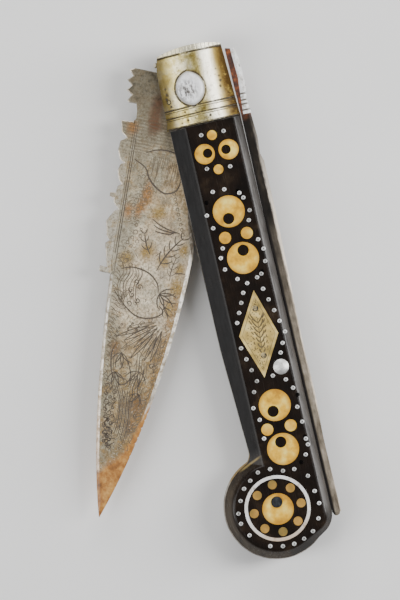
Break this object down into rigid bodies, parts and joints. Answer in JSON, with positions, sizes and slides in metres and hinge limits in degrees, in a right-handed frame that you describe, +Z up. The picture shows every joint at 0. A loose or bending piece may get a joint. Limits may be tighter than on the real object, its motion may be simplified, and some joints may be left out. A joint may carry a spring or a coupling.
{
  "type": "folding clasp knife",
  "caption": "Large folding clasp knife with a ratchet-toothed blade, an outside back spring, brass bolsters and horn scales inlaid with bone and pins.",
  "frame": {"origin": "centre of the flat face of the rivet cap on the reverse side, which the knife lies on", "axes": "+X along the handle from the pivot to the pommel, +Y from the belly to the back spring, +Z up through the thickness to the front side"},
  "size_m": [0.2088, 0.0968, 0.0232],
  "materials": {
    "blade_steel": "worn",
    "spring_iron": "patinated",
    "liner_iron": "patinated",
    "pin_steel": "worn",
    "dark_steel": "worn",
    "silver": "hammered",
    "brass": "tarnished",
    "horn": "polished",
    "dark_horn": "satin",
    "bone": "polished",
    "pale_bone": "satin",
    "brown_bone": "satin"
  },
  "bodies": {
    "handle": {"liner_front": "liner_iron", "liner_reverse": "liner_iron", "scale_front": "horn", "scale_reverse": "horn", "bolster_front": "brass", "bolster_reverse": "brass", "bolster_pins": "brass", "pivot_pin": "pin_steel", "rivet_cap_front": "silver", "rivet_cap_reverse": "silver", "spring_rivet": "silver", "pommel_rivet": "dark_steel", "pommel_spacer": "liner_iron", "eyes_front": "bone", "eyes_reverse": "bone", "pupils_front": "dark_horn", "pupils_reverse": "dark_horn", "bone_dots_front": "bone", "bone_dots_reverse": "bone", "pommel_dots_front": "brown_bone", "pommel_dots_reverse": "brown_bone", "pommel_ring_front": "silver", "pommel_ring_reverse": "silver", "lozenge_front": "pale_bone", "lozenge_reverse": "pale_bone", "lozenge_pins_front": "dark_steel", "lozenge_pins_reverse": "dark_steel", "steel_pins_front": "pin_steel", "steel_pins_reverse": "pin_steel"},
    "blade": {"blade": "blade_steel"},
    "spring": {"back_spring": "spring_iron", "spring_cap": "silver", "cap_rivets": "silver"}
  },
  "joints": [
    {"name": "blade_pivot", "type": "hinge", "parent": "handle", "child": "blade", "pos_m": [0, 0, 0.0116], "axis": [0, 0, 1], "range_deg": [-158, 22]},
    {"name": "spring_lift", "type": "hinge", "parent": "handle", "child": "spring", "pos_m": [0.1164, 0.01035, 0.0116], "axis": [0, 0, 1], "range_deg": [-1.65, 0.25], "deforming": ["back_spring"]}
  ],
  "couplings": [
    {"joint": "spring_lift", "follows": "blade_pivot", "ratio": 0.01025}
  ]
}
